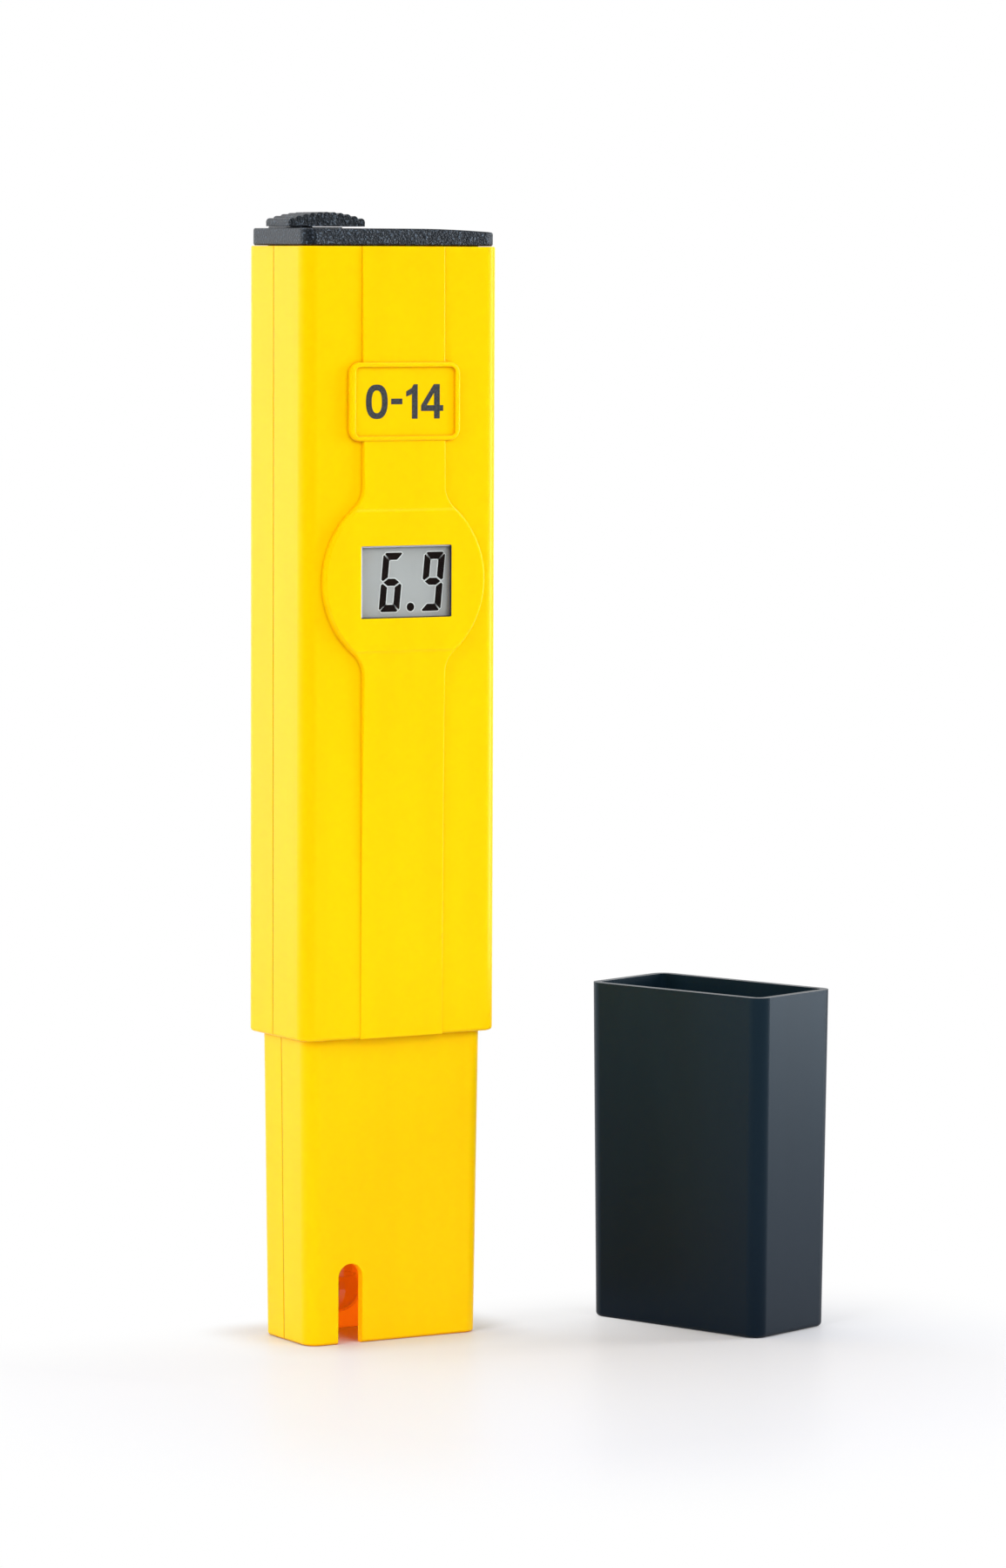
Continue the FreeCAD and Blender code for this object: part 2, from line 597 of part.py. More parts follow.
# ---- battery drawer ----------------------------------------------------------------
def top_cap():
    """Black top cap: flat under the knob, falling away to the right, with a plug skirt."""
    width = HOUSING_W - 2 * CAP_INSET
    depth = HOUSING_D - 2 * CAP_INSET
    block = rounded_block(width, depth, HOUSING_R - 0.3, CAP_BOTTOM, CAP_TOP + 1)
    start = Vector(-16, -10, CAP_TOP)
    level_end = Vector(1.0, -10, CAP_TOP)
    fall_middle = Vector(8.6, -10, CAP_TOP - 0.13)
    fall_end = Vector(width / 2, -10, CAP_TOP_END)
    outline = Part.Wire([
        Part.LineSegment(start, level_end).toShape(),
        Part.Arc(level_end, fall_middle, fall_end).toShape(),
        Part.LineSegment(fall_end, Vector(16, -10, CAP_TOP_END)).toShape(),
        Part.LineSegment(Vector(16, -10, CAP_TOP_END), Vector(16, -10, CAP_BOTTOM)).toShape(),
        Part.LineSegment(Vector(16, -10, CAP_BOTTOM), Vector(-16, -10, CAP_BOTTOM)).toShape(),
        Part.LineSegment(Vector(-16, -10, CAP_BOTTOM), start).toShape(),
    ])
    form = Part.Face(outline).extrude(Vector(0, 20, 0))
    block = block.common(form)
    block = block.makeChamfer(0.2, [edge for edge in block.Edges if lies_at_z(edge, CAP_BOTTOM)])
    top_edges = [edge for edge in block.Edges
                 if edge.BoundBox.ZMin > CAP_TOP_END - 0.01 and not on_crown(edge)]
    block = block.makeFillet(0.28, top_edges)
    skirt = rounded_block(SKIRT[0], SKIRT[1], 0.7, SKIRT_BOTTOM, CAP_BOTTOM)
    skirt = skirt.cut(rounded_block(SKIRT[0] - 2.4, SKIRT[1] - 2.4, 0.5, 0, CAP_BOTTOM))
    cap = block.fuse(skirt)
    track = rounded_block(TRACK_X[1] - TRACK_X[0], 5.8, 0.6, CAP_TOP - 0.4, CAP_TOP + TRACK_H,
                          sum(TRACK_X) / 2, KNOB_Y)
    cap = cap.fuse(fillet_edges(track, 0.08, lambda edge: lies_at_z(edge, CAP_TOP + TRACK_H)))
    slot_x0 = STEM_X - KNOB_STEM[0] / 2 - 0.2
    slot_x1 = STEM_X + KNOB_STEM[0] / 2 + SWITCH_TRAVEL + 0.2
    slot = rounded_block(slot_x1 - slot_x0, KNOB_STEM[1] + 0.4, 0.5, CAP_BOTTOM - 1, CAP_TOP + 1,
                         (slot_x0 + slot_x1) / 2, KNOB_Y)
    return cap.cut(slot)


def on_crown(edge):
    """True for the edge across the crown where the level top starts to fall."""
    size = edge.BoundBox
    return size.XLength < 1e-4 and abs(size.XMin) < 5


def battery_tray():
    x = TRAY[0] / 2
    y = TRAY[1] / 2
    z0 = TRAY_BOTTOM
    tray = rounded_block(TRAY[0], TRAY[1], 0.6, z0, SKIRT_BOTTOM)
    room = box(-x + TRAY_END_WALL, x - TRAY_END_WALL, -y - 1, y + 1, CELL_Z, CELL_Z + 6.3)
    cradle = rod(CELL_R + 0.05, (-x + TRAY_END_WALL, 0, CELL_Z), (x - TRAY_END_WALL, 0, CELL_Z))
    tray = tray.cut(room).cut(cradle)
    for side in (1, -1):
        inner = side * (x - TRAY_END_WALL)
        low = min(inner, inner - side * 0.35)
        tray = tray.cut(box(low, low + 0.35, -2.1, 2.1, z0 - 1, CELL_Z))
        notch = rod(3.2, (side * (x - 2), 0, CELL_Z + 1), (side * (x + 1), 0, CELL_Z + 1))
        if side > 0:
            tray = tray.cut(notch)
    return tray


def button_cell(index):
    """Crimped can with the smaller button face towards the next cell."""
    start = -TRAY[0] / 2 + TRAY_END_WALL + 0.3 + index * CELL_L
    profile = [(0, 0), (CELL_R - 0.35, 0), (CELL_R, 0.35), (CELL_R, CELL_L - 0.75),
               (CELL_R - 0.35, CELL_L - 0.35), (4.75, CELL_L - 0.35), (4.75, CELL_L - 0.2),
               (4.55, CELL_L), (0, CELL_L)]
    points = [(start + along, 0, CELL_Z + radius) for radius, along in profile]
    return polygon_face(points).revolve(Vector(0, 0, CELL_Z), Vector(1, 0, 0), 360)


def drawer_foot(side):
    """Strip that runs down through the tray and folds in under it."""
    inner = side * (TRAY[0] / 2 - TRAY_END_WALL)
    t = 0.3
    down = box(min(inner, inner - side * t), max(inner, inner - side * t), -2, 2,
               TRAY_BOTTOM, CELL_Z - 1)
    foot = box(min(inner, inner - side * 4), max(inner, inner - side * 4), -2, 2,
               TRAY_BOTTOM - t, TRAY_BOTTOM)
    return down.fuse(foot)


def positive_contact():
    """Flat plate behind the first cell, in one piece with its foot."""
    inner = -(TRAY[0] / 2 - TRAY_END_WALL)
    plate = rod(3.6, (inner, 0, CELL_Z), (inner + 0.3, 0, CELL_Z))
    return plate.fuse(drawer_foot(-1))


def negative_contact():
    """Plate with a bowed leaf that presses on the last cell."""
    inner = TRAY[0] / 2 - TRAY_END_WALL
    plate = rod(3.0, (inner - 0.3, 0, CELL_Z), (inner, 0, CELL_Z))
    room = inner - 0.3 - (-inner + 0.3 + CELL_COUNT * CELL_L)
    start = Vector(inner - 0.3, -2.6, CELL_Z)
    middle = Vector(inner - 0.3 - room, 0, CELL_Z)
    end = Vector(inner - 0.3, 2.6, CELL_Z)
    t = 0.22
    outer = Part.Arc(start, middle, end).toShape()
    inner_arc = Part.Arc(end + Vector(0, -2 * t, 0), middle + Vector(t, 0, 0),
                         start + Vector(0, 2 * t, 0)).toShape()
    closing = [Part.LineSegment(end, end + Vector(0, -2 * t, 0)).toShape(),
               Part.LineSegment(start + Vector(0, 2 * t, 0), start).toShape()]
    face = Part.Face(Part.Wire([outer, closing[0], inner_arc, closing[1]]))
    face.translate(Vector(0, 0, -1.25))
    leaf = face.extrude(Vector(0, 0, 2.5))
    return plate.fuse(leaf).fuse(drawer_foot(1))


def switch_board():
    """Small board under the knob with three raised contact strips."""
    z = SKIRT_BOTTOM
    board = rounded_block(20.0, 8.6, 0.5, z, z + 0.8, -1.0, 0.0)
    for index in range(3):
        x = KNOB_X - 1.8 + index * 3.6
        board = board.fuse(box(x - 1.2, x + 1.2, KNOB_Y - 1.4, KNOB_Y + 1.4, z + 0.8, z + 0.95))
    return board


def switch_knob():
    """Ribbed thumb slide: arched outline along X, carried by a stem through the slot."""
    half = KNOB_L / 2
    rise = KNOB_MID_H - KNOB_END_H
    radius = (half ** 2 + rise ** 2) / (2 * rise)
    centre_z = KNOB_BOTTOM + KNOB_MID_H - radius
    pitch = KNOB_L / RIB_COUNT
    y0 = KNOB_Y - KNOB_D / 2

    def crown(x):
        return centre_z + math.sqrt(radius ** 2 - x ** 2)

    def point(x, z):
        return Vector(KNOB_X + x, y0, z)

    edges = [Part.LineSegment(point(half, KNOB_BOTTOM), point(-half, KNOB_BOTTOM)).toShape()]
    valley = point(-half, crown(-half) - RIB_DEPTH)
    edges.append(Part.LineSegment(point(-half, KNOB_BOTTOM), valley).toShape())
    for rib in range(RIB_COUNT):
        left = -half + rib * pitch
        right = left + pitch
        top = point((left + right) / 2, crown((left + right) / 2))
        following = point(right, crown(right) - RIB_DEPTH)
        edges.append(Part.Arc(valley, top, following).toShape())
        valley = following
    edges.append(Part.LineSegment(valley, point(half, KNOB_BOTTOM)).toShape())
    knob = Part.Face(Part.Wire(edges)).extrude(Vector(0, KNOB_D, 0))
    foot = box(-13.6, -12.4, -0.6, 4.4, CAP_TOP + TRACK_H + 0.03, KNOB_BOTTOM)
    stem = rounded_block(*KNOB_STEM, 0.5, STEM_JOINT_Z, KNOB_BOTTOM, STEM_X, KNOB_Y)
    return knob.fuse(foot).fuse(stem).removeSplitter()


def switch_carriage():
    """Slider under the cap that the knob's stem snaps onto; it holds the knob down."""
    boss = rounded_block(*KNOB_STEM, 0.5, 147.4, STEM_JOINT_Z, STEM_X, KNOB_Y)
    slider = rounded_block(6.4, 6.0, 0.4, 145.9, 147.4, KNOB_X - 0.25, KNOB_Y - 0.3)
    return slider.fuse(boss).removeSplitter()


def switch_wiper():
    """Sprung brass bridge under the carriage."""
    x = KNOB_X - 0.25
    z = 145.9
    profile = [(-2.6, 0), (-2.6, -0.2), (-1.6, -0.2), (-1.1, -0.45), (-0.6, -0.2), (0.6, -0.2),
               (1.1, -0.45), (1.6, -0.2), (2.6, -0.2), (2.6, 0)]
    points = [(x + a, KNOB_Y - 0.9, z + b) for a, b in profile]
    return polygon_face(points).extrude(Vector(0, 1.8, 0))


# ---- protective cap ----------------------------------------------------------------
def protective_cap():
    outer = tapered_block(COVER_END, COVER_TOP, COVER_R, COVER_R, 0.0, COVER_H)
    outer = fillet_edges(outer, 0.6, lambda edge: lies_at_z(edge, 0.0))
    share = COVER_FLOOR / COVER_H
    low = [end + share * (top - end) - 2 * COVER_WALL for end, top in zip(COVER_END, COVER_TOP)]
    high = [top - 2 * COVER_WALL for top in COVER_TOP]
    inner = tapered_block(low, high, 0.8, 0.85, COVER_FLOOR, COVER_H + 0.001)
    cap = outer.cut(inner)
    cap.rotate(Vector(0, 0, 0), Vector(0, 0, 1), COVER_TURN)
    cap.translate(Vector(COVER_C[0], COVER_C[1], 0))
    return cap


def main():
    os.makedirs("parts", exist_ok=True)
    shell = whole_shell()
    parts = {
        "front_shell": front_shell(shell),
        "rear_shell": rear_shell(shell),
        "display_window": display_window(),
        "lcd_glass": lcd_glass(),
        "lcd_frame": lcd_frame(),
        "zebra_strip_upper": zebra_strip(1),
        "zebra_strip_lower": zebra_strip(-1),
        "circuit_board": circuit_board(),
        "chip_cover": chip_cover(),
        "amplifier_chip": amplifier_chip(),
        "capacitor": capacitor(),
        "crystal": crystal(),
        "trimmer_body": trimmer_body(),
        "trimmer_rotor": trimmer_rotor(),
        "board_spring_left": board_spring(-1),
        "board_spring_right": board_spring(1),
        "board_screws": board_screws(),
        "shell_screws": shell_screws(),
        "glass_bulb": glass_bulb(),
        "glass_stem": glass_stem(),
        "stem_stopper": stem_stopper(),
        "measuring_wire": half_cell_wire(BULB_C[0], 5.5),
        "electrode_carrier": electrode_carrier(),
        "carrier_gasket": carrier_gasket(),
        "reference_junction": reference_junction(),
        "reference_wire": half_cell_wire(REFERENCE_X, 28.5),
        "reference_stopper": reference_stopper(),
        "sealing_resin": sealing_resin(),
        "measuring_lead": electrode_lead(BULB_C[0]),
        "reference_lead": electrode_lead(REFERENCE_X),
        "top_cap": top_cap(),
        "battery_tray": battery_tray(),
        "positive_contact": positive_contact(),
        "negative_contact": negative_contact(),
        "switch_board": switch_board(),
        "switch_knob": switch_knob(),
        "switch_carriage": switch_carriage(),
        "switch_wiper": switch_wiper(),
        "protective_cap": protective_cap(),
    }
    for index in range(CELL_COUNT):
        parts["button_cell_%d" % (index + 1)] = button_cell(index)
    for name, shape in parts.items():
        shape.exportStep("parts/%s.step" % name)
        print("%-20s valid %s, solids %d, volume %.1f"
              % (name, shape.isValid(), len(shape.Solids), shape.Volume))


main()
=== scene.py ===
import math

import bmesh
import bpy
from mathutils import Matrix, Vector


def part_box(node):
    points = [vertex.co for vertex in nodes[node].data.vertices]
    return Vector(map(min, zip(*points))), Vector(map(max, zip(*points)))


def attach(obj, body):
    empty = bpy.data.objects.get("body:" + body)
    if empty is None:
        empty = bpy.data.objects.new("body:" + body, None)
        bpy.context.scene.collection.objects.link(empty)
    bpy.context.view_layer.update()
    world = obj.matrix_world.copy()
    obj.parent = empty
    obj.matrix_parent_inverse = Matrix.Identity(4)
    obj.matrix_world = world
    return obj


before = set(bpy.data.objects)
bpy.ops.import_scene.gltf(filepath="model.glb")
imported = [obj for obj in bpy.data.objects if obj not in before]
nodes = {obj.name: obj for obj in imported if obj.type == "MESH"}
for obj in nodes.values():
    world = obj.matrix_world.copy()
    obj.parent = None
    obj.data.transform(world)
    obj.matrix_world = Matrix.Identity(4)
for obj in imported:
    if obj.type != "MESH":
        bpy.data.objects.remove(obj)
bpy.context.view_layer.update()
mm = 0.001
plasticIor = 1.53  # typical of the moulded plastics and resins here
fineDepth = 0.02  # height in millimetres of drawing marks on metal and of the wave in a clear skin


def linear(hexColour, alpha=1.0):
    # "#rrggbb" as picked on a screen, turned to the linear light that shaders work in
    parts = [int(hexColour[i:i + 2], 16) / 255 for i in (1, 3, 5)]
    return [p / 12.92 if p <= 0.04045 else ((p + 0.055) / 1.055) ** 2.4 for p in parts] + [alpha]


def perMetre(millimetres):
    # texture scale whose features have this real size, in object coordinates
    return 1.0 / (millimetres * mm)


def bandScale(millimetres):
    # the same for wave bands, which repeat 20 / 2 pi times in a unit before their scale
    return perMetre(millimetres) * 2 * math.pi / 20


def addNode(tree, kind, settings=None, links=None):
    node = tree.nodes.new(kind)
    for key, value in (settings or {}).items():
        if isinstance(key, str) and key not in node.inputs:
            setattr(node, key, value)
        else:
            node.inputs[key].default_value = value
    for key, socket in (links or {}).items():
        tree.links.new(socket, node.inputs[key])
    return node


def newMaterial(name):
    material = bpy.data.materials.new(name)
    material.use_nodes = True
    material.node_tree.nodes.clear()
    return material, material.node_tree


def finishMaterial(tree, shader):
    addNode(tree, "ShaderNodeOutputMaterial", links={"Surface": shader.outputs[0]})


def noiseAt(tree, where, size, stretch=(1, 1, 1), detail=2.0, roughness=0.5):
    # noise whose blobs are about size millimetres, drawn out along the axes with a stretch below 1
    mapped = addNode(tree, "ShaderNodeMapping", {"Scale": stretch}, {"Vector": where})
    return addNode(tree, "ShaderNodeTexNoise",
                   {"Scale": perMetre(size), "Detail": detail, "Roughness": roughness},
                   {"Vector": mapped.outputs["Vector"]}).outputs["Fac"]


def blendColour(tree, factor, low, high, span=(0.35, 0.65)):
    # low to high colour as the factor goes across span, each a hex value or the socket of a colour
    settings = {"data_type": "RGBA"}
    links = {0: addNode(tree, "ShaderNodeMapRange", {"From Min": span[0], "From Max": span[1]},
                        {"Value": factor}).outputs["Result"]}
    for side, colour in ((6, low), (7, high)):
        if isinstance(colour, str):
            settings[side] = linear(colour)
        else:
            links[side] = colour
    return addNode(tree, "ShaderNodeMix", settings, links).outputs[2]


def spread(tree, factor, low, high):
    # a value from low to high that follows a noise, which seldom leaves 0.3 to 0.7
    return addNode(tree, "ShaderNodeMapRange",
                   {"From Min": 0.3, "From Max": 0.7, "To Min": low, "To Max": high},
                   {"Value": factor}).outputs["Result"]


def paintedGlowThroughWall(tree, where, glow):
    # painted glow: emission on the inner faces of the open end alone, standing in for light through
    # its thin wall; falls off across the wall, towards the outer skin, and above the chamber
    axes = addNode(tree, "ShaderNodeSeparateXYZ", links={0: where})
    share = None
    for axis, (inner, outer) in (("X", glow["wallX"]), ("Y", glow["wallY"]), ("Z", glow["roof"])):
        size = addNode(tree, "ShaderNodeMath", {"operation": "ABSOLUTE"}, {0: axes.outputs[axis]})
        near = addNode(tree, "ShaderNodeMapRange",
                       {"From Min": inner * mm, "From Max": outer * mm, "To Min": 1.0, "To Max": 0.0},
                       {"Value": size.outputs[0]}).outputs["Result"]
        if share is not None:
            near = addNode(tree, "ShaderNodeMath", {"operation": "MULTIPLY"},
                           {0: near, 1: share}).outputs[0]
        share = near
    return addNode(tree, "ShaderNodeMath", {"operation": "MULTIPLY", 1: glow["strength"]},
                   {0: share}).outputs[0]


def mouldedPlastic(name, look):
    # a moulded skin: soft mottle in the colour from the flow of the melt, the tool's texture as bump
    # with the gloss broken up at the same size, and edges rounded as they leave the tool
    material, tree = newMaterial(name)
    where = addNode(tree, "ShaderNodeTexCoord").outputs["Object"]
    mottle = noiseAt(tree, where, look["mottleSize"], look.get("flow", (1, 1, 1)))
    grain = noiseAt(tree, where, look["grainSize"], detail=3.0, roughness=0.6)
    colour = blendColour(tree, mottle, look["deep"], look["colour"])
    # lighter colour on the grain tops: filler specks in the epoxy, painted sparkle on the black ABS
    if "fleckAndSparkle" in look:
        colour = blendColour(tree, grain, colour, look["fleckAndSparkle"], look["fleckAndSparkleSpan"])
    if "cornerShade" in look:
        # painted shade: the colour deepens to orange where ambient occlusion finds walls close by
        openness = addNode(tree, "ShaderNodeAmbientOcclusion",
                           {"samples": 8, "Distance": look["cornerShadeReach"] * mm}).outputs["AO"]
        colour = blendColour(tree, openness, look["cornerShade"], colour, look["cornerShadeSpan"])
    if "foot" in look:
        # painted shade: the skin is coloured darker from the top down to the foot
        height = addNode(tree, "ShaderNodeSeparateXYZ", links={0: where}).outputs["Z"]
        colour = blendColour(tree, height, look["foot"], colour, (0.0, look["footHeight"] * mm))
    softened = addNode(tree, "ShaderNodeBevel", {"samples": 6, "Radius": look.get("edge", 0.05) * mm})
    bump = addNode(tree, "ShaderNodeBump",
                   {"Strength": look["grainStrength"], "Distance": look["grainDepth"] * mm},
                   {"Height": grain, "Normal": softened.outputs["Normal"]})
    links = {"Base Color": colour, "Roughness": spread(tree, grain, *look["roughness"]),
             "Normal": bump.outputs["Normal"]}
    # painted glow: an emission inside the open end, standing in for light through the wall
    if "glow" in look:
        links["Emission Strength"] = paintedGlowThroughWall(tree, where, look["glow"])
    shader = addNode(tree, "ShaderNodeBsdfPrincipled",
                     {"IOR": plasticIor, "Specular IOR Level": look.get("specular", 0.5),
                      "Specular Tint": linear(look.get("sheenTint", "#ffffff")),
                      "Subsurface Weight": look.get("subsurface", 0.0),
                      "Subsurface Radius": look.get("bleed", (1.0, 1.0, 1.0)),
                      "Subsurface Scale": look.get("bleedScale", 0.5) * mm,
                      "Emission Color": linear(look.get("glowColour", "#000000"))}, links)
    finishMaterial(tree, shader)
    return material


def workedMetal(name, look):
    # metal with the marks of its making drawn out along one way: drawn wire, rolled strip, turned head
    material, tree = newMaterial(name)
    where = addNode(tree, "ShaderNodeTexCoord").outputs["Object"]
    marks = noiseAt(tree, where, look["markSize"], look["markStretch"], detail=4.0, roughness=0.65)
    stain = noiseAt(tree, where, look["stainSize"])
    bump = addNode(tree, "ShaderNodeBump", {"Strength": look["markStrength"], "Distance": fineDepth * mm},
                   {"Height": marks})
    shader = addNode(tree, "ShaderNodeBsdfPrincipled", {"Metallic": 1.0},
                     {"Base Color": blendColour(tree, stain, look["dull"], look["bright"]),
                      "Roughness": spread(tree, marks, *look["roughness"]),
                      "Normal": bump.outputs["Normal"]})
    finishMaterial(tree, shader)
    return material


def clearMaterial(name, look):
    # thin glass and clear plastic: seen straight through, with a mirror that grows as the fifth power
    # towards grazing sight, and a slight wave in the skin
    material, tree = newMaterial(name)
    where = addNode(tree, "ShaderNodeTexCoord").outputs["Object"]
    wave = noiseAt(tree, where, look["waveSize"])
    bump = addNode(tree, "ShaderNodeBump", {"Strength": look["waveStrength"], "Distance": fineDepth * mm},
                   {"Height": wave})
    edgeOn = addNode(tree, "ShaderNodeLayerWeight", links={"Normal": bump.outputs["Normal"]})
    steep = addNode(tree, "ShaderNodeMath", {"operation": "POWER", 1: 5.0},
                    {0: edgeOn.outputs["Facing"]})
    mirrored = addNode(tree, "ShaderNodeMapRange", {"To Min": look["headOn"], "To Max": 1.0},
                       {"Value": steep.outputs[0]})
    skin = addNode(tree, "ShaderNodeBsdfGlossy", {"Color": (1, 1, 1, 1)},
                   {"Roughness": spread(tree, wave, *look["roughness"]),
                    "Normal": bump.outputs["Normal"]})
    passing = addNode(tree, "ShaderNodeBsdfTransparent", {"Color": linear(look["tint"])})
    finishMaterial(tree, addNode(tree, "ShaderNodeMixShader", links={
        0: mirrored.outputs["Result"], 1: passing.outputs[0], 2: skin.outputs[0]}))
    return material


def bandedRubber(name, look):
    # silicone strip in thin black and clear layers across its length, which carry one contact each
    material, tree = newMaterial(name)
    where = addNode(tree, "ShaderNodeTexCoord").outputs["Object"]
    layers = addNode(tree, "ShaderNodeTexWave",
                     {"bands_direction": "X", "Scale": bandScale(2 * look["layer"]),
                      "Distortion": look["waver"]}, {"Vector": where})
    colour = blendColour(tree, layers.outputs["Fac"], look["black"], look["clear"], look["edgeSpan"])
    skin = noiseAt(tree, where, look["skinSize"])
    bump = addNode(tree, "ShaderNodeBump",
                   {"Strength": look["skinStrength"], "Distance": look["skinDepth"] * mm}, {"Height": skin})
    shader = addNode(tree, "ShaderNodeBsdfPrincipled", {"Specular IOR Level": look["specular"]},
                     {"Base Color": colour, "Roughness": spread(tree, skin, *look["roughness"]),
                      "Normal": bump.outputs["Normal"]})
    finishMaterial(tree, shader)
    return material


def laminate(name, look):
    # glass cloth under green solder mask, with copper tracks that run up the board showing lighter
    material, tree = newMaterial(name)
    where = addNode(tree, "ShaderNodeTexCoord").outputs["Object"]
    turned = addNode(tree, "ShaderNodeMapping", {"Rotation": (math.pi / 2, 0, math.pi / 2)},
                     {"Vector": where})
    warp = addNode(tree, "ShaderNodeTexWave",
                   {"bands_direction": "X", "Scale": bandScale(look["weave"])}, {"Vector": where})
    weft = addNode(tree, "ShaderNodeTexWave",
                   {"bands_direction": "Z", "Scale": bandScale(look["weave"])}, {"Vector": where})
    cloth = addNode(tree, "ShaderNodeMath", {"operation": "MULTIPLY"},
                    {0: warp.outputs["Fac"], 1: weft.outputs["Fac"]})
    tracks = addNode(tree, "ShaderNodeTexBrick",
                     {"Scale": perMetre(1), "Row Height": look["trackPitch"],
                      "Brick Width": look["trackRun"], "Mortar Size": look["trackWidth"] / 2,
                      "Color1": (0, 0, 0, 1), "Color2": (0, 0, 0, 1), "Mortar": (1, 1, 1, 1)},
                     {"Vector": turned.outputs["Vector"]})
    mask = blendColour(tree, cloth.outputs[0], look["mask"], look["maskThin"], look["clothSpan"])
    colour = blendColour(tree, tracks.outputs["Fac"], mask, look["track"], (0.0, 1.0))
    bump = addNode(tree, "ShaderNodeBump",
                   {"Strength": look["trackStrength"], "Distance": look["trackHeight"] * mm},
                   {"Height": tracks.outputs["Fac"]})
    shader = addNode(tree, "ShaderNodeBsdfPrincipled", {"IOR": look["ior"]},
                     {"Base Color": colour, "Roughness": spread(tree, cloth.outputs[0], *look["roughness"]),
                      "Normal": bump.outputs["Normal"]})
    finishMaterial(tree, shader)
    return material


def printedInk(name, look):
    # a thin film of ink: flat, with a slightly uneven tone where it lies thin
    material, tree = newMaterial(name)
    where = addNode(tree, "ShaderNodeTexCoord").outputs["Object"]
    speck = noiseAt(tree, where, look["speck"], detail=1.0)
    shader = addNode(tree, "ShaderNodeBsdfPrincipled", {"Specular IOR Level": look["specular"]},
                     {"Base Color": blendColour(tree, speck, look["full"], look["thin"], (0.3, 0.7)),
                      "Roughness": spread(tree, speck, *look["roughness"])})
    finishMaterial(tree, shader)
    return material


# ABS moulded in a polished tool: clean strong yellow, soft gloss, light that bleeds orange in thin walls
# painted in: orange shade in corners and at raised edges, and an orange glow inside the open end
yellowAbs = mouldedPlastic("yellow_abs_moulded", {
    "colour": "#ffce00", "deep": "#ffcb00", "mottleSize": 5.0, "flow": (1, 1, 0.12),
    "grainSize": 0.7, "grainStrength": 0.06, "grainDepth": 0.05, "roughness": (0.3, 0.36),
    "specular": 0.2, "sheenTint": "#ffd98a", "edge": 0.22,
    "cornerShade": "#ebac00", "cornerShadeReach": 0.6, "cornerShadeSpan": (0.45, 0.9),
    "subsurface": 0.5, "bleed": (1.0, 0.35, 0.05), "bleedScale": 0.8, "glowColour": "#ff7e10",
    "glow": {"wallX": (12.1, 13.0), "wallY": (5.5, 6.7), "roof": (22.0, 25.0), "strength": 0.27}})

# ABS from a spark-eroded tool: near black with an even matt grain that catches the light in points;
# the grain is about 0.1 mm in the real skin, drawn three times as coarse so that it shows
# the lighter fleck colour on the grain tops is painted sparkle
blackAbs = mouldedPlastic("black_abs_spark_grain", {
    "colour": "#090b0e", "deep": "#06070a", "mottleSize": 3.0, "grainSize": 0.3,
    "grainStrength": 1.0, "grainDepth": 0.16, "roughness": (0.3, 0.46), "fleckAndSparkle": "#4f5b68",
    "fleckAndSparkleSpan": (0.55, 0.66), "specular": 0.5, "edge": 0.08, "sheenTint": "#d2e2f4"})

# polypropylene from a fine-blasted tool: blue-black, smooth, with a broad cool sheen
# painted shade darkens it towards the foot
coverPlastic = mouldedPlastic("black_polypropylene_satin", {
    "colour": "#12222c", "deep": "#101f28", "foot": "#06101a", "footHeight": 46.0,
    "mottleSize": 8.0, "flow": (1, 1, 0.2), "grainSize": 0.3, "grainStrength": 0.1,
    "grainDepth": 0.03, "roughness": (0.28, 0.34), "specular": 0.17, "sheenTint": "#c4e2ff"})

# trimmer housing: blue nylon with a dry, slightly waxy skin
blueNylon = mouldedPlastic("blue_nylon", {
    "colour": "#2b5fae", "deep": "#24539c", "mottleSize": 1.5, "grainSize": 0.3,
    "grainStrength": 0.15, "grainDepth": 0.03, "roughness": (0.42, 0.5), "subsurface": 0.1})

# acetal rotor: milk white and slippery, light goes a little way in
whiteAcetal = mouldedPlastic("white_acetal", {
    "colour": "#ece9e0", "deep": "#e2dfd5", "mottleSize": 1.2, "grainSize": 0.25,
    "grainStrength": 0.1, "grainDepth": 0.02, "roughness": (0.28, 0.36), "subsurface": 0.2})

# moulded epoxy on chips and capacitors: dull charcoal with filler showing as pale specks
mouldedEpoxy = mouldedPlastic("moulded_epoxy", {
    "colour": "#2b2b2c", "deep": "#242425", "mottleSize": 0.8, "grainSize": 0.12,
    "grainStrength": 0.4, "grainDepth": 0.03, "roughness": (0.55, 0.7),
    "fleckAndSparkle": "#3f3f3f", "fleckAndSparkleSpan": (0.55, 0.75)})

# poured epoxy over the bare chip and round the probe: glossy black with a drawn-out surface
pouredEpoxy = mouldedPlastic("poured_black_epoxy", {
    "colour": "#131314", "deep": "#0f0f10", "mottleSize": 2.0, "grainSize": 1.6,
    "grainStrength": 0.2, "grainDepth": 0.1, "roughness": (0.12, 0.2)})

# nitrile seal: flat black with bloom, no highlights
nitrileRubber = mouldedPlastic("nitrile_rubber", {
    "colour": "#1c1c1d", "deep": "#232324", "mottleSize": 0.9, "grainSize": 0.2,
    "grainStrength": 0.3, "grainDepth": 0.03, "roughness": (0.7, 0.85), "specular": 0.3})

# unglazed ceramic junction: chalk white and granular
firedCeramic = mouldedPlastic("fired_porous_ceramic", {
    "colour": "#efece4", "deep": "#dfdbd0", "mottleSize": 0.4, "grainSize": 0.1,
    "grainStrength": 0.5, "grainDepth": 0.05, "roughness": (0.8, 0.95), "specular": 0.2})

# plasticised PVC sleeve on the leads: soft, rubbery gloss
sleevePvc = mouldedPlastic("soft_pvc_sleeve", {
    "colour": "#b8241c", "deep": "#a81f18", "mottleSize": 1.5, "grainSize": 0.4,
    "grainStrength": 0.15, "grainDepth": 0.03, "roughness": (0.35, 0.45), "subsurface": 0.15})

